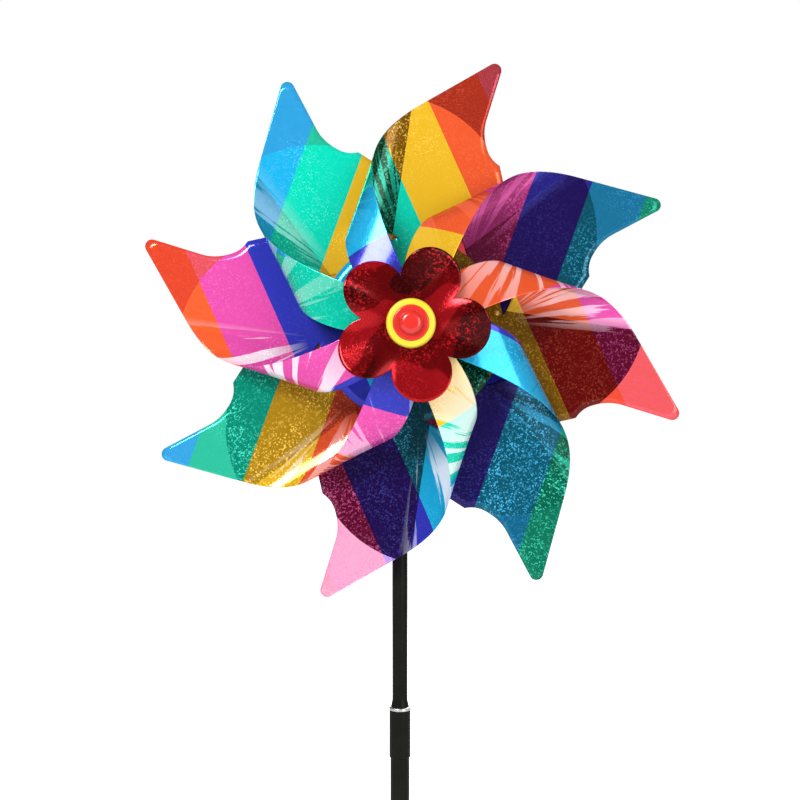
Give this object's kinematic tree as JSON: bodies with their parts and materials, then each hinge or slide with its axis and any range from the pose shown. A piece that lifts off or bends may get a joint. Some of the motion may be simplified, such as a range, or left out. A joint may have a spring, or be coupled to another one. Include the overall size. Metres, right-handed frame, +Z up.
{
  "type": "pinwheel",
  "caption": "Garden pinwheel: two layers of curled striped film vanes and a small flower on a plug-together stem that pushes into the ground.",
  "frame": {"origin": "on the stem axis, at the lower end of the shank that goes into the ground or a holder", "axes": "+Z up along the stem; the wheel faces -Y and turns about an axis parallel to Y; +X to the right seen from the front"},
  "size_m": [0.2316, 0.0563, 0.4648],
  "materials": {
    "black_plastic": "gloss, extruded",
    "bright_rim": "bright",
    "steel": "drawn wire",
    "brass_bush": "turned",
    "white_plastic": "moulded, satin",
    "striped_film": "translucent printed stripes, holographic glitter",
    "red_film": "translucent red, holographic glitter",
    "yellow_plastic": "moulded, gloss",
    "red_plastic": "moulded, gloss"
  },
  "bodies": {
    "lower_stem": {"ground_spike": "black_plastic", "lower_tube": "black_plastic", "joint_sleeve": "black_plastic", "sleeve_rim": "bright_rim"},
    "upper_stem": {"upper_rod": "black_plastic", "stem_head": "black_plastic", "axle_pin": "steel", "axle_end_cap": "steel"},
    "wheel": {"rear_thrust_washer": "white_plastic", "hub_tube": "white_plastic", "rear_bush": "brass_bush", "front_bush": "brass_bush", "rear_vane_sheet": "striped_film", "sheet_spacer": "white_plastic", "front_vane_sheet": "striped_film", "sheet_clamp_washer": "white_plastic", "spacer_sleeve": "white_plastic", "tab_washer": "white_plastic", "flower_film": "red_film", "cap_ring": "yellow_plastic", "cap_button": "red_plastic"}
  },
  "joints": [
    {"name": "stem_unplug", "type": "slide", "parent": "lower_stem", "child": "upper_stem", "axis": [0, 0, 1], "range_m": [0, 0.03]},
    {"name": "wheel_spin", "type": "hinge", "parent": "upper_stem", "child": "wheel", "pos_m": [0.005, -0.0095, 0.335], "axis": [0, -1, 0], "continuous": true}
  ]
}
